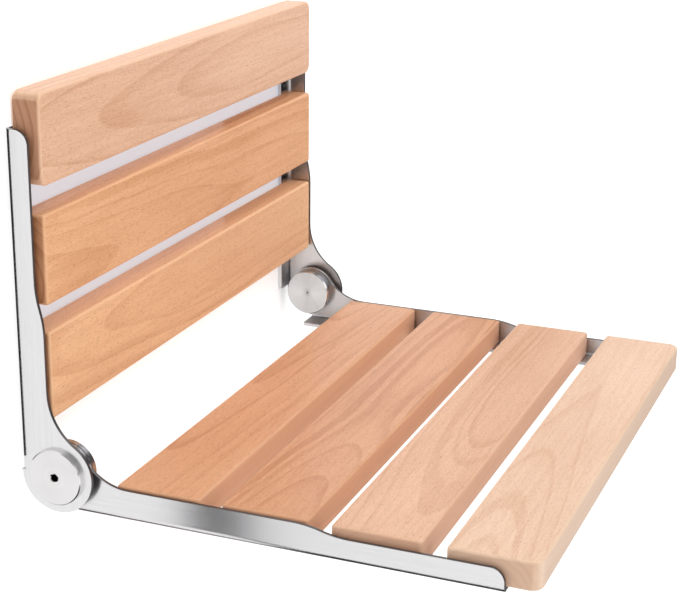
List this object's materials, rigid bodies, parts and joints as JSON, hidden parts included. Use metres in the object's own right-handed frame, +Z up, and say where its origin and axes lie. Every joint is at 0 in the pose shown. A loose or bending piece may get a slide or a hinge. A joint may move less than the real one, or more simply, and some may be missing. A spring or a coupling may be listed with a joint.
{
  "type": "folding shower seat",
  "caption": "Wall-mounted folding shower seat with slatted beech seat and back rest on bent stainless brackets, hinged on large round discs.",
  "frame": {"origin": "centre of the four wall holes, on the wall plane (the rear face of the back brackets)", "axes": "+Z up, -Y out of the wall towards the room, +X to the right seen from the room; seat level at rest"},
  "size_m": [0.428, 0.3365, 0.2676],
  "materials": {
    "sheet_steel": "brushed along the bracket",
    "turned_steel": "turned, circular brushing",
    "screw_steel": "plain",
    "beech": "satin lacquered beech with fine flecks",
    "washer_plastic": "matte",
    "bush_plastic": "matte"
  },
  "bodies": {
    "wall_frame": {"back_bracket_left": "sheet_steel", "back_bracket_right": "sheet_steel", "back_slat_bottom": "beech", "back_slat_middle": "beech", "back_slat_top": "beech", "pivot_bolt_left": "turned_steel", "pivot_bolt_right": "turned_steel", "hinge_boss_left": "turned_steel", "hinge_boss_right": "turned_steel", "spacer_washer_left": "washer_plastic", "spacer_washer_right": "washer_plastic", "stop_pin_left": "screw_steel", "stop_pin_right": "screw_steel", "back_slat_screws_left": "screw_steel", "back_slat_screws_right": "screw_steel"},
    "seat": {"seat_bracket_left": "sheet_steel", "seat_bracket_right": "sheet_steel", "seat_slat_1_rear": "beech", "seat_slat_2": "beech", "seat_slat_3": "beech", "seat_slat_4_front": "beech", "pivot_bush_left": "bush_plastic", "pivot_bush_right": "bush_plastic", "seat_slat_screws_left": "screw_steel", "seat_slat_screws_right": "screw_steel"}
  },
  "joints": [
    {"name": "seat_fold", "type": "hinge", "parent": "wall_frame", "child": "seat", "pos_m": [0, -0.0253, -0.1389], "axis": [-1, 0, 0], "range_deg": [0, 90]}
  ]
}
